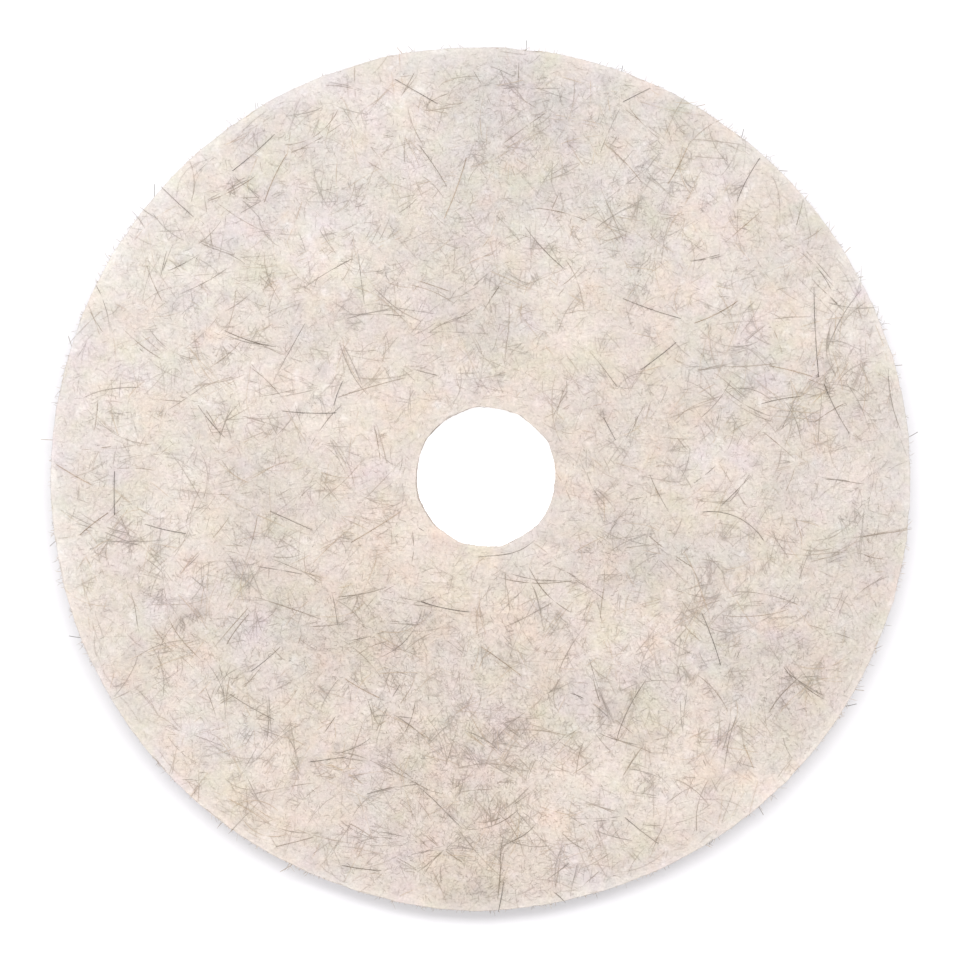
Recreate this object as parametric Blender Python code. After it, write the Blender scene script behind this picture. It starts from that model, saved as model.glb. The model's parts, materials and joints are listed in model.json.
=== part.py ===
"""Felt polishing wheel: a round pad die-cut from a thick web of cream fibre and stiff animal hair.

The web is made of thin cross-lapped plies, with long hairs caught between them and lying on the
working face. The pad lies flat. Its axis is +Z, the working face is up, and the origin is in the
middle of the underside.
"""

import math
import random

import bmesh
import bpy
from mathutils import Vector

# Driving dimensions, in metres
PAD_DIAMETER = 0.508
PAD_THICKNESS = 0.0254
HUB_HOLE_DIAMETER = 0.08255
HUB_HOLE_CENTRE = (0.0029, 0.0006)
HAIR_DIAMETER = 0.0003
HAIR_CLEARANCE = 0.00015

# The web: plies of equal thickness, a hair's slot apart
PLY_COUNT = 6
PLY_SLOT = HAIR_DIAMETER + 2 * HAIR_CLEARANCE
PLY_THICKNESS = (PAD_THICKNESS - (PLY_COUNT - 1) * PLY_SLOT) / PLY_COUNT
EDGE_ROUNDING = 0.0008
OUTLINE_POINTS = 96
RIM_WAVINESS = 0.0003

# Where the soft rim bulges out or falls short of its circle, as (angle, spread, millimetres), with
# the angles in degrees
RIM_BULGES = (
    (35, 28, -1.3),
    (112, 30, 0.6),
    (268, 12, 1.6),
)

# The hole: its plug was knocked out along short cuts, which leaves corners, torn slightly past the
# hole's circle, and flats between them
HOLE_CORNERS_DEG = (30, 62, 96, 148, 198, 224, 249, 282, 320)
CORNER_TEAR = 0.0005
FLAT_SAG = 0.0012
TEAR_DEPTH = 0.00025

# Hairs that stand out of the rim, held between two of the upper plies, as (where the tip is round
# the pad in degrees, millimetres beyond the rim's circle, lean from straight out in degrees)
RIM_HAIRS = (
    (6, 6.0, 25),
    (15, 5.0, -10),
    (32, 4.0, 15),
    (45, 3.5, -50),
    (53, 4.5, 25),
    (59, 4.5, -48),
    (71, 4.0, 10),
    (84, 7.0, 3),
    (101, 5.5, 30),
    (138, 6.5, -50),
    (161, 4.0, -55),
    (175, 8.0, 3),
    (189, 4.0, 35),
    (201, 7.5, -32),
    (243, 7.5, -35),
    (310, 7.0, -10),
    (329, 5.5, 45),
    (331, 6.0, 25),
)
RIM_HAIR_GRIP = 0.015
UPPER_SLOTS = 2
MILLIMETRE = 0.001

# Hairs that lie on the working face, each clear of the next, as (x and y of the middle, heading in
# degrees, length, turn from end to end in degrees), in millimetres
FACE_HAIRS = (
    (-179, 163, -43, 26, 4),
    (-134, 192, 41, 33, 8),
    (-121, 177, 65, 31, -14),
    (-38, 228, -30, 29, 0),
    (-28, 184, -56, 29, -8),
    (-15, 171, 70, 38, 10),
    (-101, 39, -2, 32, 10),
    (-84, 50, 70, 15, -12),
    (-240, 2, -30, 24, 6),
    (-216, -9, -90, 26, 4),
    (92, 226, 27, 18, 0),
    (116, 184, 62, 24, 12),
    (158, 176, 62, 29, -15),
    (101, 100, -19, 36, 8),
    (139, 98, 27, 29, 18),
    (198, 86, -87, 53, 5),
    (210, 41, -63, 33, 12),
    (183, 63, -14, 26, -8),
    (105, 72, 38, 26, 6),
    (76, 29, -62, 15, 0),
    (-228, -27, 38, 21, -10),
    (-186, -30, -13, 25, 10),
    (-112, -25, -24, 27, 0),
    (-62, -29, 32, 34, 5),
    (-127, -107, 40, 22, 10),
    (-135, -135, -30, 30, 8),
    (-70, -124, -29, 23, 10),
    (-21, -76, -12, 29, 14),
    (-90, -166, 8, 22, 0),
    (12, -108, -36, 29, -4),
    (150, -29, -25, 42, -66),
    (136, -95, -70, 33, -8),
    (158, -164, -68, 15, 0),
    (95, -208, -38, 25, 6),
    (12, -247, 80, 18, 6),
)

HAIR_STEP = 0.003
HAIR_SIDES_RESOLUTION = 1

# Colours
OUTER_WEB_COLOUR = (0.76, 0.68, 0.61)
INNER_WEB_COLOUR = (0.72, 0.64, 0.56)
DARK_HAIR_COLOUR = (0.11, 0.09, 0.08)
TAN_HAIR_COLOUR = (0.45, 0.30, 0.16)


def clear_scene():
    """Remove every object that the scene starts with."""
    for obj in list(bpy.data.objects):
        bpy.data.objects.remove(obj, do_unlink=True)


def make_material(name, colour, roughness):
    """Plain fibre material with no metal in it."""
    material = bpy.data.materials.new(name)
    material.use_nodes = True
    shader = material.node_tree.nodes["Principled BSDF"]
    shader.inputs["Base Color"].default_value = (*colour, 1.0)
    shader.inputs["Roughness"].default_value = roughness
    shader.inputs["Metallic"].default_value = 0.0
    return material


def rim_bulge(angle_deg):
    """How far the rim stands out of its circle at an angle."""
    total = 0.0
    for centre, spread, millimetres in RIM_BULGES:
        away = (angle_deg - centre + 180) % 360 - 180
        total += millimetres * MILLIMETRE * math.exp(-((away / spread) ** 2))
    return total


def rim_radii(rng):
    """Radius of the die-cut rim at each outline point, with the slight waviness of a soft web."""
    phases = [rng.uniform(0, math.tau) for _ in range(3)]
    radii = []
    for i in range(OUTLINE_POINTS):
        angle = math.tau * i / OUTLINE_POINTS
        wave = sum(math.sin((lobes + 2) * angle + phase) for lobes, phase in enumerate(phases))
        bulge = rim_bulge(math.degrees(angle))
        radii.append(PAD_DIAMETER / 2 + bulge + RIM_WAVINESS * wave / len(phases))
    return radii


def flat_position(angle_deg):
    """How far an angle is from one hole corner (0) to the next (1)."""
    corners = list(HOLE_CORNERS_DEG) + [HOLE_CORNERS_DEG[0] + 360]
    if angle_deg < corners[0]:
        angle_deg += 360
    for start, end in zip(corners, corners[1:]):
        if angle_deg <= end:
            return (angle_deg - start) / (end - start)


def hole_radii(rng):
    """Radius of the torn hole at each outline point: widest at the corners, less on the flats."""
    radii = []
    for i in range(OUTLINE_POINTS):
        sag = FLAT_SAG * math.sqrt(math.sin(math.pi * flat_position(360 * i / OUTLINE_POINTS)))
        radii.append(HUB_HOLE_DIAMETER / 2 + CORNER_TEAR - sag - rng.uniform(0, TEAR_DEPTH))
    return radii


def add_ring(bm, radii, centre, z):
    """Corners of a ring round a centre, at height z."""
    verts = []
    for i, radius in enumerate(radii):
        angle = math.tau * i / len(radii)
        x = centre[0] + radius * math.cos(angle)
        y = centre[1] + radius * math.sin(angle)
        verts.append(bm.verts.new((x, y, z)))
    return verts


def join_rings(bm, first, second):
    """Band of faces from one ring to the next."""
    for i in range(len(first)):
        bm.faces.new((first[i - 1], first[i], second[i], second[i - 1]))


def ply_levels(index):
    """Heights of a ply's underside and top."""
    low = index * (PLY_THICKNESS + PLY_SLOT)
    return low, low + PLY_THICKNESS


def rim_profile(index):
    """Steps up a ply's rim as (inset, height): the pad's outer edges are slightly rounded."""
    low, high = ply_levels(index)
    profile = [(0.0, low), (0.0, high)]
    if index == 0:
        profile = [(EDGE_ROUNDING, low), (0.0, low + EDGE_ROUNDING), (0.0, high)]
    if index == PLY_COUNT - 1:
        profile = [(0.0, low), (0.0, high - EDGE_ROUNDING), (EDGE_ROUNDING, high)]
    return profile


def make_ply(name, index, material):
    """One ply of the web: a flat ring with a wavy rim and a torn hole."""
    rng = random.Random(100 + index)
    rim = rim_radii(rng)
    hole = hole_radii(rng)
    low, high = ply_levels(index)
    bm = bmesh.new()
    rings = [add_ring(bm, [r - inset for r in rim], (0, 0), z) for inset, z in rim_profile(index)]
    rings.append(add_ring(bm, hole, HUB_HOLE_CENTRE, high))
    rings.append(add_ring(bm, hole, HUB_HOLE_CENTRE, low))
    for i, ring in enumerate(rings):
        join_rings(bm, rings[i - 1], ring)
    bmesh.ops.recalc_face_normals(bm, faces=bm.faces)
    mesh = bpy.data.meshes.new(name)
    bm.to_mesh(mesh)
    bm.free()
    mesh.shade_smooth()
    mesh.set_sharp_from_angle(angle=math.radians(35))
    mesh.materials.append(material)
    ply = bpy.data.objects.new(name, mesh)
    bpy.context.collection.objects.link(ply)
    return ply


def hair_points(start, heading, length, turn):
    """Points along a springy hair of this length, whose heading turns steadily from end to end."""
    steps = max(3, round(length / HAIR_STEP))
    point = Vector(start)
    points = [point.copy()]
    for i in range(steps):
        direction = heading + turn * (i + 0.5) / steps
        point += Vector((math.cos(direction), math.sin(direction), 0)) * length / steps
        points.append(point.copy())
    return points


def make_hair(name, points, material):
    """A round hair along the points, closed at both ends."""
    curve = bpy.data.curves.new(name, "CURVE")
    curve.dimensions = "3D"
    curve.bevel_depth = HAIR_DIAMETER / 2
    curve.bevel_resolution = HAIR_SIDES_RESOLUTION
    curve.use_fill_caps = True
    spline = curve.splines.new("POLY")
    spline.points.add(len(points) - 1)
    for spline_point, point in zip(spline.points, points):
        spline_point.co = (*point, 1.0)
    curve.materials.append(material)
    hair = bpy.data.objects.new(name, curve)
    bpy.context.collection.objects.link(hair)
    return hair


def slot_height(slot):
    """Height of the middle of the slot above a ply."""
    return ply_levels(slot)[1] + PLY_SLOT / 2


def make_rim_hairs(materials):
    """Hairs all round the rim, each drawn from its tip in to where the web grips it."""
    for i, (angle_deg, reach_mm, lean_deg) in enumerate(RIM_HAIRS):
        angle = math.radians(angle_deg)
        lean = math.radians(lean_deg)
        tip_radius = PAD_DIAMETER / 2 + reach_mm * MILLIMETRE
        height = slot_height(PLY_COUNT - 2 - i % UPPER_SLOTS)
        tip = (tip_radius * math.cos(angle), tip_radius * math.sin(angle), height)
        length = (RIM_HAIR_GRIP + reach_mm * MILLIMETRE) / math.cos(lean)
        points = hair_points(tip, angle + lean + math.pi, length, -lean / 2)
        make_hair(f"rim_hair_{i + 1:02d}", points, materials[i % len(materials)])


def make_face_hairs(materials):
    """Hairs that lie on the working face."""
    height = PAD_THICKNESS + HAIR_CLEARANCE + HAIR_DIAMETER / 2
    for i, (middle_x, middle_y, heading_deg, length_mm, turn_deg) in enumerate(FACE_HAIRS):
        heading = math.radians(heading_deg)
        start_x = (middle_x - math.cos(heading) * length_mm / 2) * MILLIMETRE
        start_y = (middle_y - math.sin(heading) * length_mm / 2) * MILLIMETRE
        turn = math.radians(turn_deg)
        points = hair_points((start_x, start_y, height), heading - turn / 2, length_mm * MILLIMETRE, turn)
        make_hair(f"face_hair_{i + 1:02d}", points, materials[i % len(materials)])


def make_plies():
    """The cross-lapped plies, from the machine side up to the working face."""
    for index in range(PLY_COUNT):
        name = f"web_ply_{index + 1}"
        colour = INNER_WEB_COLOUR
        if index == 0:
            name = "bottom_facing_ply"
            colour = OUTER_WEB_COLOUR
        if index == PLY_COUNT - 1:
            name = "top_facing_ply"
            colour = OUTER_WEB_COLOUR
        make_ply(name, index, make_material(name, colour, 0.95))


def main():
    """Build the whole pad."""
    clear_scene()
    dark_hair = make_material("dark_hair", DARK_HAIR_COLOUR, 0.55)
    tan_hair = make_material("tan_hair", TAN_HAIR_COLOUR, 0.6)
    hairs = (dark_hair, dark_hair, tan_hair)
    make_plies()
    make_rim_hairs(hairs)
    make_face_hairs(hairs)


main()
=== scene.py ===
"""Felt polishing wheel: cream fibre web, stiff dark and tan hairs, fuzzy rim and torn centre hole."""

import itertools
import json
import math

import bpy
import numpy as np
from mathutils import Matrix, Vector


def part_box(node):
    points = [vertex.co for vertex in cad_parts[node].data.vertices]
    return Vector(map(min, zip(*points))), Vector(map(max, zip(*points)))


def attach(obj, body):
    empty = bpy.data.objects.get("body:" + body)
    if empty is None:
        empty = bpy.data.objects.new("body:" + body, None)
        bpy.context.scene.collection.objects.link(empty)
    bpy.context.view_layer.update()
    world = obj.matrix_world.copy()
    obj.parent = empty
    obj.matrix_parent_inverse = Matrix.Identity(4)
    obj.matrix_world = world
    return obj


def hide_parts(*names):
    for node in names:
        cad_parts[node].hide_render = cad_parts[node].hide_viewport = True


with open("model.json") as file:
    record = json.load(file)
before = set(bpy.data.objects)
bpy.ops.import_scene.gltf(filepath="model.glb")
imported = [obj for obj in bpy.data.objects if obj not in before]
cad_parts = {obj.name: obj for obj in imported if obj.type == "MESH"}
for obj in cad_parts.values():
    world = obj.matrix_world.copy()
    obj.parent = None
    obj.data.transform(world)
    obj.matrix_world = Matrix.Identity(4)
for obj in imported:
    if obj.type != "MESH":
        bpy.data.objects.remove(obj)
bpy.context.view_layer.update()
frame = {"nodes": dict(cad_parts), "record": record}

# The frame: plies from the underside up, the rim's radius, and the hole's centre
PLIES = ["bottom_facing_ply", "web_ply_2", "web_ply_3", "web_ply_4", "web_ply_5", "top_facing_ply"]
TOP_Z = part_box(PLIES[-1])[1].z
BOTTOM_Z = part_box(PLIES[0])[0].z
HOLE_BOX = frame["record"]["physics"]["openings"][0]["box_m"]
HOLE_CENTRE = (np.array(HOLE_BOX[0]) + np.array(HOLE_BOX[1]))[:2] / 2
RIM_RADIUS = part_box(PLIES[-1])[1].x
LOWEST_FIBRE = 0.0002

# Meshes of the plies
FACE_SEGMENTS = 800
FACE_RINGS = 102
EDGE_SHARE = 0.002
WALL_SEGMENTS = 1600
WALL_RINGS = 8
HOLE_ZONE = 0.06
LEVEL_TOLERANCE = 0.0001
NOISE_TABLE = 32

# Felt lumps, as (cell, height), how far the felt stays inside its CAD faces, how far its walls are
# pulled in at a seam between plies, how far each ply reaches into a seam, and how the seams wander
FELT_LUMPS = ((0.030, 0.00035), (0.009, 0.00030), (0.0042, 0.00028))
WALL_LUMPS = ((0.012, 0.00030), (0.0045, 0.00026), (0.0022, 0.00020))
FELT_SEED = 40
WALL_SEED = 60
FACE_INSET = 0.0003
WALL_TUCK = 0.00025
TUCK_CELL = 0.02
TUCK_SEED = 69
SEAM_CLOSING = 0.00026
SEAM_WAVES = ((0.030, 0.00060), (0.009, 0.00035))
SEAM_SEED = 70

# The hole's wall stands back a little, and from the working face down it widens and leans slightly
HOLE_EASE = 0.0005
HOLE_FLARE = 0.0018
HOLE_LEAN = (0.0013, 0.0002)

# Within this depth of the working face, the rim slopes in and what lies on the walls hugs them
EDGE_DEPTH = 0.004
RIM_UNDERCUT = 0.0007

# Blotches of brightness and warmth in the felt, as (cell, strength), how much its rim is paler
# and cooler, and how much cooler its top is painted: painted light colour for the cooler light from
# above
TONE_BLOTCHES = ((0.110, 0.082), (0.045, 0.094), (0.020, 0.036))
WARMTH_BLOTCHES = ((0.070, 0.65), (0.022, 0.45))
TONE_SEED = 31
WARMTH_SEED = 35
PALE_RIM = 0.08
PALE_RIM_SHARPNESS = 34
COOL_RIM = 0.7
COOL_RIM_SHARPNESS = 16
PAINTED_COOL_TOP = 0.65

# How likely hairs are away from their clusters, and short dark fibres outside and inside grey areas
HAIR_SHARE = 0.42
GRIZZLE_SHARE = 0.10
GRIZZLE_IN_GREY = 9.0

# Darker places in the web, as (x, y, reach, loss of brightness): partly where more dark fibre was
# blended in, and partly painted shade that darkens the felt towards the bottom, away from the light
# from above; and places where hairs gather, as (x, y, reach, extra share), in rim radii
GREY_AND_SHADED_AREAS = (
    (0.02, -0.62, 0.26, 0.082),
    (-0.20, -0.42, 0.18, 0.045),
    (-0.03, -0.92, 0.18, 0.035),
    (0.45, -0.36, 0.25, 0.022),
    (0.82, 0.22, 0.12, 0.014),
    (-0.80, -0.18, 0.12, 0.035),
    (0.40, 0.72, 0.14, 0.018),
    (-0.48, -0.52, 0.14, 0.030),
    (0.10, 0.88, 0.12, 0.020),
    (0.75, -0.55, 0.20, 0.020),
    # painted shade: the bottom edge, which curls down away from the light
    (0.00, -0.99, 0.07, 0.045),
)
HAIR_CLUSTERS = (
    (0.80, 0.25, 0.10, 1.0),
    (0.48, 0.64, 0.13, 0.9),
    (0.25, 0.42, 0.12, 0.3),
    (-0.05, -0.50, 0.20, 0.7),
    (0.10, -0.78, 0.20, 0.9),
    (-0.80, -0.20, 0.14, 0.5),
    (-0.42, 0.68, 0.16, 0.5),
    (0.70, -0.48, 0.18, 0.6),
    (0.58, -0.12, 0.18, 0.4),
    (-0.50, -0.58, 0.15, 0.5),
    (0.45, -0.34, 0.15, 0.5),
)

# Knots of fine curly fibre on the working face, as (x, y, reach), in rim radii
TANGLES = (
    (-0.29, 0.66, 0.045),
    (-0.41, 0.70, 0.055),
    (-0.54, 0.67, 0.040),
    (0.38, 0.48, 0.045),
    (0.47, 0.66, 0.055),
    (0.40, 0.78, 0.050),
    (0.80, 0.23, 0.045),
    (0.31, 0.91, 0.040),
    (-0.87, 0.15, 0.050),
    (-0.67, 0.33, 0.050),
    (-0.77, -0.25, 0.055),
    (-0.58, -0.51, 0.035),
    (0.05, -0.57, 0.030),
    (0.43, -0.32, 0.050),
    (0.41, -0.70, 0.030),
    (0.67, -0.50, 0.045),
    (0.27, -0.17, 0.020),
    (-0.05, -0.71, 0.035),
    (-0.39, -0.74, 0.035),
    (0.87, -0.08, 0.045),
    (-0.20, 0.48, 0.035),
    (-0.60, 0.28, 0.030),
)


# ---------------------------------------------------------------- noise and outlines


def value_noise(points, cell, seed):
    """Smooth noise from -1 to 1 with lumps of about cell metres, one value for each point."""
    table = np.random.default_rng(seed).uniform(-1, 1, (NOISE_TABLE,) * 3)
    place = points / cell
    corner = np.floor(place).astype(int)
    share = place - corner
    share = share * share * (3 - 2 * share)
    total = np.zeros(len(points))
    for step in itertools.product((0, 1), repeat=3):
        weight = np.prod(np.where(step, share, 1 - share), axis=1)
        index = (corner + step) % NOISE_TABLE
        total += weight * table[index[:, 0], index[:, 1], index[:, 2]]
    return total


def lumps(points, layers, seed):
    """Sum of noise layers, given as (cell, height)."""
    return sum(height * value_noise(points, cell, seed + i) for i, (cell, height) in enumerate(layers))


def around(angles):
    """Unit vectors in the plane at each angle."""
    return np.stack([np.cos(angles), np.sin(angles)], -1)


def node_points(node):
    """The corners of a CAD node, as an array."""
    vertices = frame["nodes"][node].data.vertices
    points = np.zeros(len(vertices) * 3)
    vertices.foreach_get("co", points)
    return points.reshape(-1, 3)


def outline_radii(points, centre, angles):
    """Radius of a CAD outline at each angle round a centre."""
    offset = points[:, :2] - centre
    turn = np.arctan2(offset[:, 1], offset[:, 0]) % math.tau
    order = np.argsort(turn)
    return np.interp(angles, turn[order], np.hypot(*offset.T)[order], period=math.tau)


def hole_radii(node, angles):
    """Radius of a ply's hole at each angle round the hole's centre."""
    points = node_points(node)
    near = np.hypot(*(points[:, :2] - HOLE_CENTRE).T) < HOLE_ZONE
    return outline_radii(points[near], HOLE_CENTRE, angles)


def rim_radii(node, angles):
    """Radius of a ply's rim at each angle, at its widest."""
    points = node_points(node)
    distance = np.hypot(points[:, 0], points[:, 1])
    low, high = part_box(node)
    level = np.abs(points[:, 2] - (low.z if node == PLIES[-1] else high.z))
    rim = (distance > 2 * HOLE_ZONE) & (level < LEVEL_TOLERANCE)
    return outline_radii(points[rim], np.zeros(2), angles)


HOLE_RADIUS = hole_radii(PLIES[-1], np.arange(360) * math.tau / 360).mean() + HOLE_EASE


# ---------------------------------------------------------------- where things are


def spots(points, areas):
    """Sum of soft round spots, given as (x, y, reach, strength) in rim radii."""
    total = np.zeros(len(points))
    for x, y, reach, strength in areas:
        distance = np.hypot(points[:, 0] / RIM_RADIUS - x, points[:, 1] / RIM_RADIUS - y)
        total += strength * np.exp(-((distance / reach) ** 2))
    return total


def nearness_to_rim(points, sharpness):
    """0 over most of the pad, rising to 1 at the rim, over 1/sharpness of its radius."""
    return np.clip((np.hypot(points[:, 0], points[:, 1]) / RIM_RADIUS - 1) * sharpness + 1, 0, 1)


def felt_tone(points):
    """Brightness of the felt: blotchy, darker in the grey areas, partly with painted shade, paler along
    the rim.
    """
    rim_glow = PALE_RIM * nearness_to_rim(points, PALE_RIM_SHARPNESS)
    return 1 + lumps(points, TONE_BLOTCHES, TONE_SEED) - spots(points, GREY_AND_SHADED_AREAS) + rim_glow


def felt_warmth(points):
    """How warm the felt's colour is, from about -1 to 1: cooler along the top as painted light colour,
    with blotches.
    """
    # painted light: the top is tinted cooler, as the cooler light from above would make it
    painted_cool_top = PAINTED_COOL_TOP * points[:, 1] / RIM_RADIUS
    cool_rim = COOL_RIM * nearness_to_rim(points, COOL_RIM_SHARPNESS)
    return lumps(points, WARMTH_BLOTCHES, WARMTH_SEED) - painted_cool_top - cool_rim


def hair_density(places):
    """How likely a hair lies at each place, from 0 to 1."""
    return np.clip(HAIR_SHARE + (1 - HAIR_SHARE) * spots(places, HAIR_CLUSTERS), 0, 1)


def grizzle_density(places):
    """How likely a short dark fibre lies at each place: mostly in the grey areas."""
    return np.clip(GRIZZLE_SHARE + GRIZZLE_IN_GREY * spots(places, GREY_AND_SHADED_AREAS), 0, 1)


def even_density(places):
    """The same everywhere."""
    return np.ones(len(places))


# ---------------------------------------------------------------- meshes


def mesh_object(name, points, face_sets, attributes=None):
    """A smooth mesh object from arrays. Each face set is an array of faces with as many corners."""
    mesh = bpy.data.meshes.new(name)
    corners = np.concatenate([faces.ravel() for faces in face_sets]).astype(np.int32)
    sizes = np.concatenate([np.full(len(faces), faces.shape[1]) for faces in face_sets])
    starts = np.concatenate([[0], np.cumsum(sizes)[:-1]]).astype(np.int32)
    mesh.vertices.add(len(points))
    mesh.vertices.foreach_set("co", points.astype(np.float32).ravel())
    mesh.loops.add(len(corners))
    mesh.loops.foreach_set("vertex_index", corners)
    mesh.polygons.add(len(sizes))
    mesh.polygons.foreach_set("loop_start", starts)
    mesh.update(calc_edges=True)
    mesh.shade_smooth()
    for key, values in (attributes or {}).items():
        layer = mesh.attributes.new(key, "FLOAT", "POINT")
        layer.data.foreach_set("value", values.astype(np.float32))
    piece = bpy.data.objects.new(name, mesh)
    bpy.context.scene.collection.objects.link(piece)
    return piece


def felt_piece(name, points, face_sets, material, attributes=None):
    """A piece of the pad, with the felt's tone and warmth stored on it."""
    values = {"tone": felt_tone(points), "warmth": felt_warmth(points)}
    values.update(attributes or {})
    piece = mesh_object(name, points, face_sets, values)
    piece.data.materials.append(material)
    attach(piece, "root")
    return piece


def ring_faces(rows, columns):
    """Quads of a closed tube of rings: rows of columns points, wrapping both ways."""
    row, column = np.meshgrid(np.arange(rows), np.arange(columns), indexing="ij")
    next_row = (row + 1) % rows
    next_column = (column + 1) % columns
    quads = [row * columns + column, next_row * columns + column]
    quads += [next_row * columns + next_column, row * columns + next_column]
    return np.stack([quad.ravel() for quad in quads], 1)


def face_rows(hole, rim, z, count):
    """Rings of a flat face between its hole and its rim, the outermost ones close to those two."""
    shares = np.linspace(0, 1, count)[:, None, None]
    shares[0] = EDGE_SHARE
    shares[-1] = 1 - EDGE_SHARE
    flat = hole[None] * (1 - shares) + rim[None] * shares
    return np.concatenate([flat, np.full((count, flat.shape[1], 1), z)], 2)


def wall_points(turn, height, inside):
    """Points of the felt's rim wall, or of its hole's wall, at each angle and height.

    The wall runs smoothly from the outline of one ply to that of the next.
    """
    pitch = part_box(PLIES[1])[0].z - BOTTOM_Z
    level = np.clip((height - BOTTOM_Z) / pitch - 0.5, 0, len(PLIES) - 1)
    radius = np.zeros(turn.shape)
    for i, node in enumerate(PLIES):
        share = np.clip(1 - np.abs(level - i), 0, 1)
        radius += share * (hole_radii(node, turn) if inside else rim_radii(node, turn))
    depth = TOP_Z - height
    if inside:
        share = (depth / (TOP_Z - BOTTOM_Z))[..., None]
        flat = (radius + HOLE_EASE)[..., None] * around(turn) + HOLE_CENTRE
        flat += share * (HOLE_FLARE * around(turn) + np.array(HOLE_LEAN))
    else:
        inset = RIM_UNDERCUT * np.clip(depth / EDGE_DEPTH, 0, 1)
        flat = (radius - inset)[..., None] * around(turn)
    points = np.concatenate([flat, height[..., None]], -1)
    swell = lumps(points.reshape(-1, 3), WALL_LUMPS, WALL_SEED).reshape(turn.shape)
    points[..., :2] += swell[..., None] * around(turn)
    return points


def seam_heights(angles, height):
    """Heights of a seam between two plies at each angle: it wanders up and down a little."""
    level = np.c_[around(angles) * RIM_RADIUS, np.full(len(angles), height)]
    return height + lumps(level, SEAM_WAVES, SEAM_SEED)


def wall_rows(angles, low, high, inside):
    """Rings up a lumpy wall, pulled in near each seam, deeper in some places than in others."""
    rows = []
    for share in np.linspace(0, 1, WALL_RINGS):
        height = low * (1 - share) + high * share
        points = wall_points(angles, height, inside)
        tuck = WALL_TUCK * (share * 2 - 1) ** 4 * (1 + value_noise(points, TUCK_CELL, TUCK_SEED))
        if height.min() > TOP_Z - 2 * WALL_TUCK:  # the working face's own edge isn't a seam
            tuck = np.zeros(len(angles))
        points[:, :2] += (tuck if inside else -tuck)[:, None] * around(angles)
        rows.append(points)
    return np.stack(rows)


def felt_ply(node, material):
    """One ply as lumpy felt. The two facing plies have a fine outer face, and the others fine walls."""
    low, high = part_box(node)
    is_facing = node in (PLIES[0], PLIES[-1])
    segments = FACE_SEGMENTS if is_facing else WALL_SEGMENTS
    angles = np.arange(segments) * math.tau / segments
    lowest = low.z + (FACE_INSET if node == PLIES[0] else -SEAM_CLOSING)
    highest = high.z - (FACE_INSET if node == PLIES[-1] else -SEAM_CLOSING)
    foot = np.full(segments, lowest) if node == PLIES[0] else seam_heights(angles, lowest)
    head = np.full(segments, highest) if node == PLIES[-1] else seam_heights(angles, highest)
    rim_wall = wall_rows(angles, foot, head, inside=False)[::-1]
    hole_wall = wall_rows(angles, foot, head, inside=True)
    if node == PLIES[-1]:
        for wall, edge in ((rim_wall, rim_wall[0]), (hole_wall, hole_wall[-1])):
            stretch = (TOP_Z + face_rise(edge) - foot) / (head - foot)
            wall[..., 2] = foot + (wall[..., 2] - foot) * stretch
    top_rings = FACE_RINGS if node == PLIES[-1] else 2
    bottom_rings = FACE_RINGS if node == PLIES[0] else 2
    top_z = high.z if node == PLIES[-1] else highest
    bottom_z = low.z if node == PLIES[0] else lowest
    top = face_rows(hole_wall[-1, :, :2], rim_wall[0, :, :2], top_z, top_rings)
    bottom = face_rows(hole_wall[0, :, :2], rim_wall[-1, :, :2], bottom_z, bottom_rings)[::-1]
    if node == PLIES[-1]:
        top[..., 2] += face_rise(top.reshape(-1, 3)).reshape(top.shape[:2])
    if node == PLIES[0]:
        bottom[..., 2] += under_rise(bottom.reshape(-1, 3)).reshape(bottom.shape[:2])
    points = np.concatenate([top, rim_wall, bottom, hole_wall])
    rows = len(points)
    name = node.replace("_ply", "_felt_ply")
    piece = felt_piece(name, points.reshape(-1, 3), [ring_faces(rows, segments)], material)
    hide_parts(node)


def face_rise(points):
    """Height of the working face's felt above its CAD level."""
    flat = np.c_[points[:, :2], np.full(len(points), TOP_Z)]
    return lumps(flat, FELT_LUMPS, FELT_SEED) - FACE_INSET


def under_rise(points):
    """Height of the underside's felt above its CAD level."""
    flat = np.c_[points[:, :2], np.full(len(points), BOTTOM_Z)]
    return np.abs(lumps(flat, FELT_LUMPS, FELT_SEED)) + FACE_INSET


# ---------------------------------------------------------------- fibres


ODD_DIRECTION = (0.31, 0.17, 0.93)
END_TAPER = 0.6


def tube_mesh(name, paths, radii, sides, covers, tints, material):
    """Closed tubes along paths (fibres, points, 3), tapered at their ends.

    Each fibre has a tint, and a cover at each point: how much of its own colour shows over the felt's.
    """
    count, steps, _ = paths.shape
    tangents = np.gradient(paths, axis=1)
    tangents /= np.linalg.norm(tangents, axis=2, keepdims=True)
    side = np.cross(tangents[:, 0], ODD_DIRECTION)
    rings = []
    taper = 1 - END_TAPER * np.abs(np.linspace(-1, 1, steps)) ** 6
    for k in range(steps):
        tangent = tangents[:, k]
        side = side - np.sum(side * tangent, 1, keepdims=True) * tangent
        side = side / np.linalg.norm(side, axis=1, keepdims=True)
        up = np.cross(tangent, side)
        for s in range(sides):
            turn = math.tau * s / sides
            offset = side * math.cos(turn) + up * math.sin(turn)
            rings.append(paths[:, k] + offset * (radii * taper[k])[:, None])
    points = np.stack(rings, 1).reshape(-1, 3)
    k, s = np.meshgrid(np.arange(steps - 1), np.arange(sides), indexing="ij")
    next_s = (s + 1) % sides
    this_ring = k * sides
    next_ring = this_ring + sides
    quad = np.stack([this_ring + s, this_ring + next_s, next_ring + next_s, next_ring + s], -1)
    start = np.arange(count)[:, None] * steps * sides
    quads = (quad.reshape(1, -1, 4) + start[:, :, None]).reshape(-1, 4)
    first = np.arange(sides)[::-1] + start
    last = np.arange(sides) + (steps - 1) * sides + start
    attributes = {
        "cover": np.repeat(covers.ravel(), sides),
        "tint": np.repeat(tints, steps * sides),
    }
    return felt_piece(name, points, [quads, np.concatenate([first, last])], material, attributes)


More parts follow.
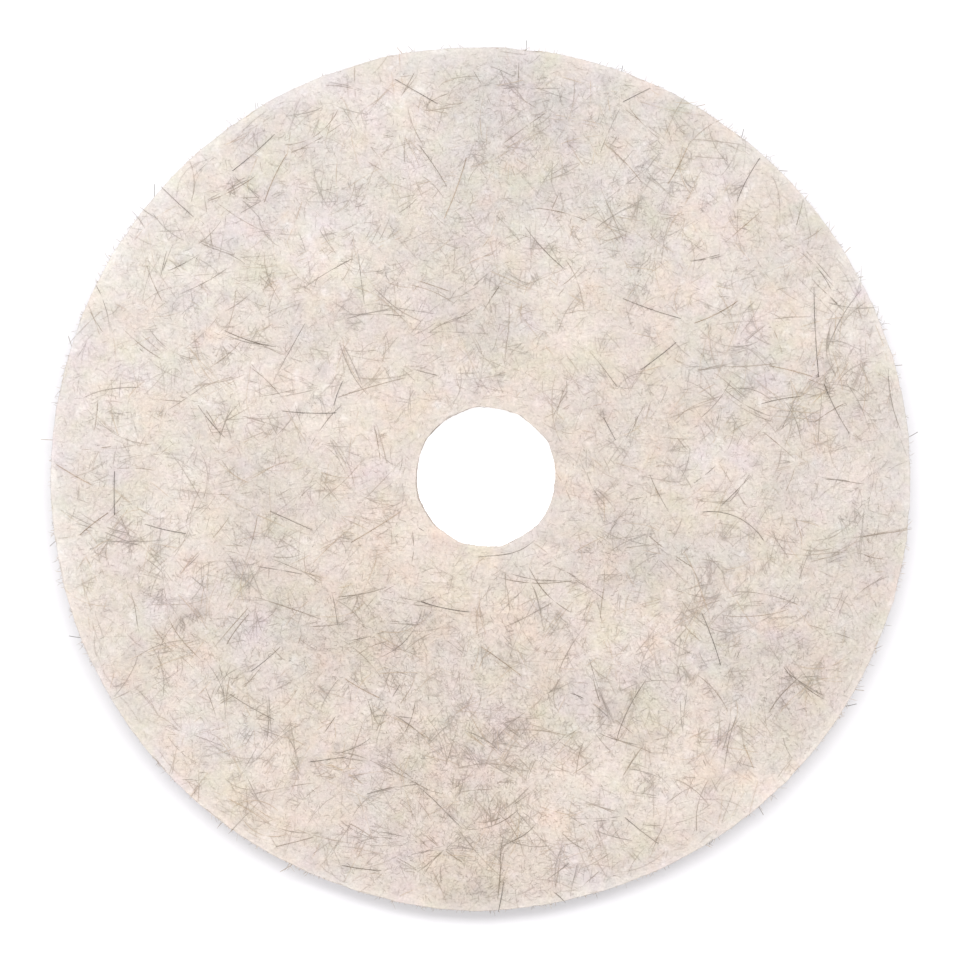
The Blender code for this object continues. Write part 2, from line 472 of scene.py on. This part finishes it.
def flat_paths(rng, starts, headings, lengths, steps, curl, wobble):
    """Curved paths in the plane: each heads off, curls steadily and wobbles a little."""
    count = len(starts)
    step = (lengths / (steps - 1))[:, None]
    travelled = step * np.arange(steps)[None]
    bend = rng.normal(0, curl, count)[:, None] * (travelled - lengths[:, None] / 2)
    phase = rng.uniform(0, math.tau, count)[:, None]
    waves = rng.uniform(60, 220, count)[:, None]
    swing = rng.normal(0, wobble, count)[:, None] * np.sin(waves * travelled + phase)
    moves = around(headings[:, None] + bend + swing) * step[..., None]
    paths = np.cumsum(moves, axis=1)
    paths -= paths[:, steps // 2:steps // 2 + 1]
    return paths + starts[:, None]


def random_places(rng, count, density, margin):
    """Places on the pad, likelier where density (a function of place, up to 1) is high."""
    found = np.zeros((0, 2))
    while len(found) < count:
        places = rng.uniform(-RIM_RADIUS, RIM_RADIUS, (4 * count, 2))
        inside = np.hypot(*places.T) < RIM_RADIUS - margin
        inside &= np.hypot(*(places - HOLE_CENTRE).T) > HOLE_RADIUS + margin
        inside &= rng.uniform(0, 1, len(places)) < density(places)
        found = np.concatenate([found, places[inside]])
    return found[:count]


def keep_on_pad(paths, overhang):
    """Which paths stay on the pad's face, or pass its rim by no more than the overhang."""
    within_rim = np.linalg.norm(paths, axis=2).max(1) < RIM_RADIUS + overhang
    past_hole = np.linalg.norm(paths - HOLE_CENTRE, axis=2).min(1) > HOLE_RADIUS
    return within_rim & past_hole


COVER_WAVE = 0.12


def fading_covers(rng, count, steps, cover, fade):
    """Covers along each fibre: strong at one end, fading by a share towards the other, with a wave."""
    along = np.linspace(0, 1, steps)[None]
    along = np.where(rng.uniform(0, 1, (count, 1)) < 0.5, along, 1 - along)
    strong = rng.uniform(*cover, (count, 1))
    turns = rng.uniform(0.6, 2.2, (count, 1)) * along + rng.uniform(0, 1, (count, 1))
    wave = COVER_WAVE * np.sin(math.tau * turns)
    lost = rng.uniform(0, fade, (count, 1)) * along**1.5
    return np.clip(strong * (1 - lost + wave), 0, 1)


def on_face(rng, flat, look):
    """Lays flat paths on the working face, lifted on the whole and dipping a little here and there.

    A stiff hair follows only the broad lumps, so it dives under the small ones and shows in between.
    """
    count, steps, _ = flat.shape
    places = flat.reshape(-1, 2)
    if look["stiff"]:
        level = np.c_[places, np.full(len(places), TOP_Z)]
        ground = lumps(level, FELT_LUMPS[:1], FELT_SEED) - FACE_INSET
    else:
        ground = face_rise(places)
    along = np.linspace(0, 1, steps)[None]
    turns = rng.uniform(1.0, 2.5, count)[:, None] * along + rng.uniform(0, 1, count)[:, None]
    lift = look["lift"] + look["dip"] * np.sin(math.tau * turns)
    height = TOP_Z + ground.reshape(count, steps) + lift
    return np.concatenate([flat, height[..., None]], 2)


def on_underside(rng, flat, look):
    """Lays flat paths against the underside, never below what the pad lies on."""
    count, steps, _ = flat.shape
    ground = under_rise(flat.reshape(-1, 2)).reshape(count, steps)
    drop = look["dip"] * rng.uniform(-1, 1, (count, 1)) - look["lift"]
    height = np.maximum(BOTTOM_Z + ground + drop, LOWEST_FIBRE)
    return np.concatenate([flat, height[..., None]], 2)


EDGE_MARGIN = 0.002
TWIN_OFFSET = 0.0018
TWIN_TURN = 0.10
SHORT_OF_RIM = -0.001


def face_fibres(name, seed, count, density, look, material, slot, lay=on_face, overhang=SHORT_OF_RIM):
    """A layer of fibres over a face. Twins are hairs that lie beside the one before them."""
    rng = np.random.default_rng(seed)
    places = random_places(rng, count, density, EDGE_MARGIN)
    lengths = rng.uniform(*look["length"], count)
    headings = rng.uniform(0, math.tau, count)
    twins = rng.uniform(0, 1, count) < look["twins"]
    twins[0] = False
    follow = np.maximum(np.arange(count) - 1, 0)
    places[twins] = places[follow[twins]] + rng.normal(0, TWIN_OFFSET, (twins.sum(), 2))
    headings[twins] = headings[follow[twins]] + rng.normal(0, TWIN_TURN, twins.sum())
    steps = look["steps"]
    flat = flat_paths(rng, places, headings, lengths, steps, look["curl"], look["wobble"])
    covers = fading_covers(rng, count, steps, look["cover"], look["fade"])
    radii = rng.uniform(*look["radius"], count)
    tints = rng.uniform(0, 1, count)
    kept = keep_on_pad(flat, overhang)
    paths = lay(rng, flat[kept], look)
    return tube_mesh(name, paths, radii[kept], look["sides"], covers[kept], tints[kept], material)


# Looks of the fibres. Length, radius, lift off the felt and dip along it are in metres. Curl is in
# radians for each metre, wobble and lean in radians, and all three are standard deviations. A stiff
# fibre follows only the felt's broad lumps. Cover is how much of its own colour a fibre shows, fade the
# most of that it loses towards one end, and twins the share of hairs that lie beside the one before.
# Depth is how strongly fuzz gathers near the working face: 1 is evenly, more is nearer to it.
BOLD_HAIR = {
    "length": (0.015, 0.042), "radius": (0.00013, 0.00019), "curl": 13.0, "wobble": 0.05,
    "stiff": True, "lift": 0.00010, "dip": 0.00010, "steps": 21, "sides": 4,
    "cover": (0.45, 0.85), "fade": 0.8, "twins": 0.25,
}
MEDIUM_HAIR = {
    "length": (0.012, 0.044), "radius": (0.00011, 0.00017), "curl": 20.0, "wobble": 0.07,
    "stiff": True, "lift": 0.00001, "dip": 0.00010, "steps": 19, "sides": 4,
    "cover": (0.24, 0.60), "fade": 0.9, "twins": 0.25,
}
FAINT_HAIR = {
    "length": (0.009, 0.036), "radius": (0.00010, 0.00015), "curl": 30.0, "wobble": 0.12,
    "stiff": True, "lift": -0.00005, "dip": 0.00010, "steps": 13, "sides": 3,
    "cover": (0.09, 0.37), "fade": 0.9, "twins": 0.1,
}
SHORT_FIBRE = {
    "length": (0.001, 0.004), "radius": (0.00009, 0.00017), "curl": 220.0, "wobble": 0.4,
    "stiff": False, "lift": 0.00006, "dip": 0.00006, "steps": 4, "sides": 3,
    "cover": (0.12, 0.46), "fade": 0.5, "twins": 0,
}
PALE_FIBRE = {
    "length": (0.004, 0.020), "radius": (0.00006, 0.00011), "curl": 70.0, "wobble": 0.35,
    "stiff": False, "lift": 0.00004, "dip": 0.00015, "steps": 8, "sides": 3,
    "cover": (0.04, 0.34), "fade": 0.5, "twins": 0,
}
TANGLE_FIBRE = {
    "length": (0.003, 0.014), "radius": (0.00008, 0.00013), "curl": 130.0, "wobble": 0.5,
    "stiff": True, "lift": -0.00002, "dip": 0.00018, "steps": 16, "sides": 3,
    "cover": (0.18, 0.62), "fade": 0.7,
}
FUZZ = {
    "length": (0.0004, 0.0026), "radius": (0.00005, 0.00010), "lean": 0.7, "steps": 5,
    "sides": 3, "cover": (0.2, 0.8), "fade": 0.3, "depth": 1.3,
}
TANGLE_SPREAD = 0.65
WALL_MARGIN = 0.0006
WALL_SLANT = 0.5
FUZZ_ROOT = 0.0008
FUZZ_BEND = 1.0
FUZZ_CLIMB = 0.25
TUFT_CELL = 0.010


def tangle_fibres(name, seed, strands_each, material):
    """Knots of fine fibres that curl round on themselves."""
    rng = np.random.default_rng(seed)
    look = TANGLE_FIBRE
    knots = np.repeat(np.array(TANGLES), strands_each, axis=0) * RIM_RADIUS
    count = len(knots)
    places = knots[:, :2] + rng.normal(0, TANGLE_SPREAD, (count, 2)) * knots[:, 2:]
    lengths = rng.uniform(*look["length"], count)
    headings = rng.uniform(0, math.tau, count)
    steps = look["steps"]
    flat = flat_paths(rng, places, headings, lengths, steps, look["curl"], look["wobble"])
    covers = fading_covers(rng, count, steps, look["cover"], look["fade"])
    radii = rng.uniform(*look["radius"], count)
    kept = keep_on_pad(flat, SHORT_OF_RIM)
    paths = on_face(rng, flat[kept], look)
    tints = rng.uniform(0, 1, count)[kept]
    return tube_mesh(name, paths, radii[kept], look["sides"], covers[kept], tints, material)


def wall_fibres(name, seed, count, inside, look, material):
    """Fibres that lie along a round wall, mostly level, some slanting from ply to ply."""
    rng = np.random.default_rng(seed)
    steps = look["steps"]
    radius = HOLE_RADIUS if inside else RIM_RADIUS
    along_wall = rng.uniform(0, math.tau * radius, count)
    starts = np.stack([along_wall, rng.uniform(BOTTOM_Z, TOP_Z, count)], 1)
    lengths = rng.uniform(*look["length"], count)
    headings = rng.normal(0, WALL_SLANT, count)
    flat = flat_paths(rng, starts, headings, lengths, steps, look["curl"], look["wobble"])
    turn = flat[..., 0] / radius
    height = np.clip(flat[..., 1], BOTTOM_Z + WALL_MARGIN, TOP_Z - WALL_MARGIN)
    paths = wall_points(turn, height, inside)
    stand = rng.uniform(0, 1, (count, 1))
    stand = look["lift"] * (stand + 0.4 * np.sin(rng.uniform(40, 120, (count, 1)) * turn))
    hug = np.clip((TOP_Z - height) / EDGE_DEPTH, 0, 1)
    stand = stand * hug - (1 - hug) * 2 * look["lift"]
    paths[..., :2] += (-stand if inside else stand)[..., None] * around(turn)
    covers = fading_covers(rng, count, steps, look["cover"], look["fade"])
    radii = rng.uniform(*look["radius"], count)
    tints = rng.uniform(0, 1, count)
    return tube_mesh(name, paths, radii, look["sides"], covers, tints, material)


def fuzz(name, seed, count, inside, look, material):
    """Short fibre ends that stand out of a wall in tufts, each bent over and leaning its own way."""
    rng = np.random.default_rng(seed)
    steps = look["steps"]
    turn = rng.uniform(0, math.tau, count)
    clumps = value_noise(np.c_[around(turn) * RIM_RADIUS, np.zeros(count)], TUFT_CELL, FELT_SEED)
    tufts = np.clip(0.55 + 0.9 * clumps, 0.12, 1.3)
    shortest, longest = look["length"]
    length = FUZZ_ROOT + (shortest + (longest - shortest) * rng.uniform(0, 1, count) ** 2.5) * tufts
    depth = rng.uniform(0, 1, count) ** look["depth"]
    height = TOP_Z - WALL_MARGIN - (TOP_Z - BOTTOM_Z - 2 * WALL_MARGIN) * depth
    heading = turn + (math.pi if inside else 0) + rng.normal(0, look["lean"], count)
    bend = rng.normal(0, FUZZ_BEND, count)
    climb = rng.normal(0, FUZZ_CLIMB, count)
    start = wall_points(turn, height, inside)
    start[:, :2] += (FUZZ_ROOT if inside else -FUZZ_ROOT) * around(turn)
    path = [start]
    for k in range(steps - 1):
        move = np.c_[around(heading + bend * k / steps), climb] * (length / (steps - 1))[:, None]
        path.append(path[-1] + move)
    paths = np.stack(path, 1)
    paths[..., 2] = np.clip(paths[..., 2], LOWEST_FIBRE, TOP_Z + WALL_MARGIN)
    covers = fading_covers(rng, count, steps, look["cover"], look["fade"])
    radii = rng.uniform(*look["radius"], count)
    tints = rng.uniform(0, 1, count)
    return tube_mesh(name, paths, radii, look["sides"], covers, tints, material)


# ---------------------------------------------------------------- materials


def new_material(name):
    """A material with its node tree and its shader."""
    material = bpy.data.materials.new(name)
    material.use_nodes = True
    tree = material.node_tree
    return material, tree, tree.nodes["Principled BSDF"]


def noise_node(tree, vector, cell, detail, seed):
    """A noise texture with features of about cell metres."""
    node = tree.nodes.new("ShaderNodeTexNoise")
    node.noise_dimensions = "4D"
    node.inputs["Scale"].default_value = 1 / cell
    node.inputs["Detail"].default_value = detail
    node.inputs["W"].default_value = seed
    tree.links.new(vector, node.inputs["Vector"])
    return node


def noise(tree, vector, cell, detail, seed):
    """Noise from about 0.3 to 0.7 with features of about cell metres."""
    return noise_node(tree, vector, cell, detail, seed).outputs["Fac"]


def ramp(tree, value, low, high):
    """Turns a value into 0 below low, 1 above high, smoothly between."""
    node = tree.nodes.new("ShaderNodeMapRange")
    node.interpolation_type = "SMOOTHSTEP"
    node.inputs["From Min"].default_value = low
    node.inputs["From Max"].default_value = high
    tree.links.new(value, node.inputs["Value"])
    return node.outputs["Result"]


def math_node(tree, operation, first, second):
    """One arithmetic step on sockets or numbers."""
    node = tree.nodes.new("ShaderNodeMath")
    node.operation = operation
    for socket, value in zip(node.inputs, (first, second)):
        if isinstance(value, (int, float)):
            socket.default_value = value
        else:
            tree.links.new(value, socket)
    return node.outputs["Value"]


def times_plus(tree, value, factor, extra):
    """A value times a number, plus a number."""
    return math_node(tree, "ADD", math_node(tree, "MULTIPLY", value, factor), extra)


def vector_node(tree, operation, *values):
    """One step on vectors or colours, each a socket or a triple."""
    node = tree.nodes.new("ShaderNodeVectorMath")
    node.operation = operation
    for socket, value in zip(node.inputs, values):
        if isinstance(value, tuple):
            socket.default_value = value
        else:
            tree.links.new(value, socket)
    return node.outputs["Vector"]


def mix(tree, factor, first, second):
    """Mixes two colours, each a socket or an (r, g, b)."""
    node = tree.nodes.new("ShaderNodeMix")
    node.data_type = "RGBA"
    tree.links.new(factor, node.inputs["Factor"])
    for socket, value in ((node.inputs[6], first), (node.inputs[7], second)):
        if isinstance(value, tuple):
            socket.default_value = (*value, 1.0)
        else:
            tree.links.new(value, socket)
    return node.outputs[2]


def scaled(tree, colour, factor):
    """A colour times a number."""
    node = tree.nodes.new("ShaderNodeVectorMath")
    node.operation = "SCALE"
    tree.links.new(colour, node.inputs["Vector"])
    tree.links.new(factor, node.inputs["Scale"])
    return node.outputs["Vector"]


def attribute(tree, name):
    """A value stored on the mesh."""
    node = tree.nodes.new("ShaderNodeAttribute")
    node.attribute_name = name
    return node.outputs["Fac"]


def strands(tree, vector, turn, seed, spacing, length):
    """Thin wavy lines, mostly along one direction, 1 on a line and 0 off it."""
    mapping = tree.nodes.new("ShaderNodeMapping")
    mapping.inputs["Rotation"].default_value = (0, 0, turn)
    mapping.inputs["Scale"].default_value = (1 / length, 1 / spacing, 1 / spacing)
    tree.links.new(vector, mapping.inputs["Vector"])
    field = noise(tree, mapping.outputs["Vector"], 1.0, 0.0, seed)
    away = math_node(tree, "ABSOLUTE", math_node(tree, "SUBTRACT", field, 0.5), 0.0)
    return math_node(tree, "SUBTRACT", 1.0, ramp(tree, away, 0.0, 0.03))


# Colours of the felt, its tinted patches as (colour, cell, from, to, seed), where from and to are the
# noise at which a tint starts and is full, and its mottling as (cell, strength)
CREAM = (0.599, 0.537, 0.489)
WARM = (1.036, 0.997, 0.966)
COOL = (0.969, 1.001, 1.027)
LILAC = (0.599, 0.532, 0.513)
PEACH = (0.622, 0.531, 0.467)
OLIVE = (0.583, 0.530, 0.453)
GREYISH = (0.510, 0.456, 0.425)
PALE = (0.682, 0.625, 0.593)
SPECK = (0.300, 0.255, 0.220)
FELT_TINTS = (
    (LILAC, 0.030, 0.45, 0.68, 1),
    (PEACH, 0.024, 0.47, 0.70, 2),
    (OLIVE, 0.027, 0.47, 0.70, 3),
    (GREYISH, 0.012, 0.51, 0.80, 4),
    (PALE, 0.008, 0.53, 0.82, 5),
)
MOTTLE_CELLS = ((0.0035, 0.05), (0.014, 0.085))
STRAND_TURNS = (0.3, 1.1, 1.9, 2.7)
STRAND_SEED = 10
STRAND_SPACING = 0.0011
STRAND_LENGTH = 0.02
PORE_CELL = 0.0014
SPECK_CELL = 0.0013


def felt_colour(tree, coordinates):
    """The felt's colour: cream with soft tinted patches, mottled, with the mesh's tone and warmth,
    which also carry painted shade and painted light colour.
    """
    colour = CREAM
    for tint, cell, low, high, seed in FELT_TINTS:
        colour = mix(tree, ramp(tree, noise(tree, coordinates, cell, 3, seed), low, high), colour, tint)
    for index, (cell, amount) in enumerate(MOTTLE_CELLS):
        field = noise_node(tree, coordinates, cell, 1, 20 + index).outputs["Color"]
        factor = vector_node(tree, "MULTIPLY_ADD", field, (amount,) * 3, (1 - amount / 2,) * 3)
        colour = vector_node(tree, "MULTIPLY", colour, factor)
    warmth = ramp(tree, attribute(tree, "warmth"), -1.2, 1.2)
    colour = vector_node(tree, "MULTIPLY", colour, mix(tree, warmth, COOL, WARM))
    return scaled(tree, colour, attribute(tree, "tone"))


def felt_material(name):
    """Bonded cream web: tinted patches, fine strands, pores and dark specks, the pores darkened with
    painted shade.
    """
    material, tree, shader = new_material(name)
    coordinates = tree.nodes.new("ShaderNodeTexCoord").outputs["Object"]
    shift = noise_node(tree, coordinates, 0.02, 0, 30).outputs["Color"]
    bent = vector_node(tree, "MULTIPLY_ADD", shift, (0.012,) * 3, coordinates)
    colour = felt_colour(tree, coordinates)
    light = 0.0
    for index, turn in enumerate(STRAND_TURNS):
        layer = strands(tree, bent, turn, STRAND_SEED + index, STRAND_SPACING, STRAND_LENGTH)
        light = math_node(tree, "MAXIMUM", light, layer)
    pores = ramp(tree, noise(tree, coordinates, PORE_CELL, 3, 5), 0.40, 0.60)
    specks = ramp(tree, noise(tree, coordinates, SPECK_CELL, 2, 6), 0.55, 0.72)
    gloom = ramp(tree, attribute(tree, "tone"), 1.05, 0.88)
    colour = mix(tree, math_node(tree, "MULTIPLY", light, 0.14), colour, PALE)
    depth = times_plus(tree, gloom, 0.36, 0.17)
    colour = mix(tree, math_node(tree, "MULTIPLY", specks, depth), colour, SPECK)
    # painted shade: the colour darkens in the pores between the fibres
    colour = scaled(tree, colour, times_plus(tree, pores, 0.09, 0.945))
    tree.links.new(colour, shader.inputs["Base Color"])
    relief = math_node(tree, "ADD", math_node(tree, "MULTIPLY", light, 0.5), pores)
    bump = tree.nodes.new("ShaderNodeBump")
    bump.inputs["Distance"].default_value = 0.0004
    bump.inputs["Strength"].default_value = 0.5
    tree.links.new(relief, bump.inputs["Height"])
    tree.links.new(bump.outputs["Normal"], shader.inputs["Normal"])
    rough = times_plus(tree, noise(tree, coordinates, 0.004, 2, 7), 0.2, 0.8)
    tree.links.new(rough, shader.inputs["Roughness"])
    shader.inputs["Sheen Weight"].default_value = 0.15
    shader.inputs["Specular IOR Level"].default_value = 0.2
    return material


def fibre_material(name, first, second):
    """Fibres that show the felt's colour through theirs. Their tint goes from first to second."""
    material, tree, shader = new_material(name)
    coordinates = tree.nodes.new("ShaderNodeTexCoord").outputs["Object"]
    own = mix(tree, attribute(tree, "tint"), first, second)
    colour = mix(tree, attribute(tree, "cover"), felt_colour(tree, coordinates), own)
    tree.links.new(colour, shader.inputs["Base Color"])
    shader.inputs["Roughness"].default_value = 0.7
    shader.inputs["Specular IOR Level"].default_value = 0.2
    return material


def cad_hair_material(name, hair, faded):
    """One of the boldest hairs: its own colour, with faded stretches along it."""
    material, tree, shader = new_material(name)
    coordinates = tree.nodes.new("ShaderNodeTexCoord").outputs["Object"]
    stretch = ramp(tree, noise(tree, coordinates, 0.012, 1, 40), 0.35, 0.65)
    mottle = ramp(tree, noise(tree, coordinates, 0.0015, 1, 41), 0.3, 0.7)
    colour = mix(tree, stretch, hair, faded)
    colour = scaled(tree, colour, times_plus(tree, mottle, 0.3, 0.85))
    tree.links.new(colour, shader.inputs["Base Color"])
    shader.inputs["Roughness"].default_value = 0.55
    shader.inputs["Specular IOR Level"].default_value = 0.3
    return material


# ---------------------------------------------------------------- stage


CAMERA_HEIGHT = 1.5
VIEW_WIDTH = 0.5664
VIEW_CENTRE = (-0.0004, -0.0012)
SENSOR = 36.0
FLOOR_RADIUS = 12.0
FLOOR_SIDES = 64
FLOOR_Z = -0.0002
FLOOR_COLOUR = (0.764, 0.756, 0.780)
FLOOR_GLOW = 0.05
HOLE_PAINTED_LIGHT = 0.60


def make_camera():
    """A long lens straight above the pad."""
    data = bpy.data.cameras.new("camera")
    data.sensor_width = SENSOR
    data.lens = SENSOR * CAMERA_HEIGHT / VIEW_WIDTH
    camera = bpy.data.objects.new("camera", data)
    camera.location = (*VIEW_CENTRE, TOP_Z + CAMERA_HEIGHT)
    bpy.context.scene.collection.objects.link(camera)
    bpy.context.scene.camera = camera


def make_floor():
    """A wide pale round floor under the pad, with painted light where it shows through the hole: it
    glows brighter there, so no shadow shows inside the hole.
    """
    turn = np.arange(FLOOR_SIDES) * math.tau / FLOOR_SIDES
    points = np.c_[around(turn) * FLOOR_RADIUS, np.full(len(turn), FLOOR_Z)]
    floor = mesh_object("floor", points, [np.arange(len(turn))[None]])
    material, tree, shader = new_material("pale_floor")
    shader.inputs["Base Color"].default_value = (*FLOOR_COLOUR, 1)
    shader.inputs["Roughness"].default_value = 0.9
    shader.inputs["Specular IOR Level"].default_value = 0.0
    shader.inputs["Emission Color"].default_value = (1, 1, 1, 1)
    coordinates = tree.nodes.new("ShaderNodeTexCoord").outputs["Object"]
    distance = tree.nodes.new("ShaderNodeVectorMath")
    distance.operation = "LENGTH"
    tree.links.new(coordinates, distance.inputs[0])
    through_hole = math_node(tree, "LESS_THAN", distance.outputs["Value"], HOLE_ZONE)
    # painted light: the floor glows brighter under the hole, washing out the shadow there
    glow = times_plus(tree, through_hole, HOLE_PAINTED_LIGHT, FLOOR_GLOW)
    tree.links.new(glow, shader.inputs["Emission Strength"])
    floor.data.materials.append(material)


def area_light(name, place, width, depth, power):
    """A soft light aimed at the pad."""
    data = bpy.data.lights.new(name, "AREA")
    data.shape = "RECTANGLE"
    data.size = width
    data.size_y = depth
    data.energy = power
    light = bpy.data.objects.new(name, data)
    light.location = place
    aim = -np.array(place)
    light.rotation_euler = (
        math.acos(-aim[2] / np.linalg.norm(aim)),
        0,
        math.atan2(aim[1], aim[0]) - math.pi / 2,
    )
    bpy.context.scene.collection.objects.link(light)


def make_light():
    """Bright even surroundings, a key from above the picture and a weak one from the left."""
    world = bpy.data.worlds.new("studio")
    world.use_nodes = True
    world.node_tree.nodes["Background"].inputs["Color"].default_value = (1, 1, 1, 1)
    world.node_tree.nodes["Background"].inputs["Strength"].default_value = 1.005
    bpy.context.scene.world = world
    area_light("key", (0.03, 0.66, 2.2), 1.6, 0.44, 27.4)
    area_light("left_fill", (-1.0, 0.3, 1.8), 0.8, 0.8, 2.4)
    bpy.context.scene.view_settings.view_transform = "Standard"


# ---------------------------------------------------------------- the object


def make_face_hair(dark, warm, tan, pale):
    """Everything that lies on the working face."""
    hairs = (
        ("bold_dark_hairs", 51, 190, BOLD_HAIR, dark, "dark_hair", 0.006),
        ("bold_brown_hairs", 52, 130, BOLD_HAIR, warm, "dark_hair", 0.006),
        ("medium_dark_hairs", 53, 540, MEDIUM_HAIR, dark, "dark_hair", 0.004),
        ("medium_brown_hairs", 54, 600, MEDIUM_HAIR, warm, "dark_hair", 0.004),
        ("tan_hairs", 55, 560, MEDIUM_HAIR, tan, "tan_hair", 0.004),
        ("faint_dark_hairs", 56, 1850, FAINT_HAIR, dark, "dark_hair", SHORT_OF_RIM),
    )
    for name, seed, count, look, material, slot, overhang in hairs:
        face_fibres(name, seed, count, hair_density, look, material, slot, overhang=overhang)
    face_fibres("faint_brown_hairs", 57, 1950, even_density, FAINT_HAIR, warm, "dark_hair")
    face_fibres("short_dark_fibres", 58, 9000, grizzle_density, SHORT_FIBRE, dark, "dark_hair")
    tangle_fibres("tangled_fibres", 59, 22, dark)
    for layer in range(3):
        name = f"pale_fibres_{layer + 1}"
        face_fibres(name, 61 + layer, 3200, even_density, PALE_FIBRE, pale, "facing_web")


def make_underside_hair(dark, pale):
    """A thinner layer of fibres against the underside."""
    layers = (
        ("underside_dark_hairs", 71, 500, hair_density, MEDIUM_HAIR, dark, "dark_hair"),
        ("underside_pale_fibres", 72, 2500, even_density, PALE_FIBRE, pale, "facing_web"),
    )
    for layer in layers:
        face_fibres(*layer, lay=on_underside)


def make_edge_hair(dark, warm, tan, pale):
    """Fibres that lie along the rim's and the hole's walls, and fuzz that stands out of them."""
    pale_look = dict(PALE_FIBRE, lift=0.00030, steps=10, length=(0.008, 0.030))
    dark_look = dict(FAINT_HAIR, lift=0.00030, steps=12, cover=(0.2, 0.7))
    wall_fibres("rim_pale_fibres", 81, 3300, False, pale_look, pale)
    wall_fibres("rim_dark_fibres", 82, 700, False, dark_look, dark)
    wall_fibres("hole_pale_fibres", 83, 800, True, pale_look, pale)
    wall_fibres("hole_dark_fibres", 84, 120, True, dark_look, dark)
    fuzz("rim_pale_fuzz", 85, 6200, False, dict(FUZZ, cover=(0.0, 0.5)), pale)
    bristle = dict(FUZZ, radius=(0.00007, 0.00013), cover=(0.4, 0.95), depth=2.5)
    fuzz("rim_tan_fuzz", 86, 1800, False, dict(bristle, length=(0.0006, 0.0045)), tan)
    fuzz("rim_brown_fuzz", 87, 1100, False, dict(bristle, length=(0.0006, 0.0055)), warm)
    fuzz("rim_dark_fuzz", 88, 420, False, dict(bristle, length=(0.0008, 0.0070)), dark)
    fuzz("hole_pale_fuzz", 89, 1200, True, dict(FUZZ, length=(0.0002, 0.0012)), pale)
    fuzz("hole_brown_fuzz", 90, 160, True, dict(FUZZ, length=(0.0002, 0.0018)), warm)


make_camera()
make_floor()
make_light()

felt = felt_material("cream_felt")
dark_fibre = fibre_material("dark_fibre", (0.075, 0.052, 0.034), (0.205, 0.152, 0.100))
brown_fibre = fibre_material("brown_fibre", (0.180, 0.120, 0.075), (0.330, 0.240, 0.155))
tan_fibre = fibre_material("tan_fibre", (0.420, 0.270, 0.130), (0.560, 0.420, 0.260))
pale_fibre = fibre_material("pale_fibre", (0.600, 0.530, 0.450), (0.880, 0.850, 0.820))
dark_bristle = cad_hair_material("dark_bristle", (0.070, 0.058, 0.050), (0.260, 0.215, 0.175))
tan_bristle = cad_hair_material("tan_bristle", (0.200, 0.130, 0.075), (0.420, 0.310, 0.210))

for node in PLIES:
    felt_ply(node, felt)

for subpart in frame["record"]["subparts"]:
    if "hair" in subpart["node"]:
        bristle = tan_bristle if subpart["material_slot"] == "tan_hair" else dark_bristle
        slots = frame["nodes"][subpart["node"]].data.materials
        slots.clear()
        slots.append(bristle)

make_face_hair(dark_fibre, brown_fibre, tan_fibre, pale_fibre)
make_underside_hair(dark_fibre, pale_fibre)
make_edge_hair(dark_fibre, brown_fibre, tan_fibre, pale_fibre)
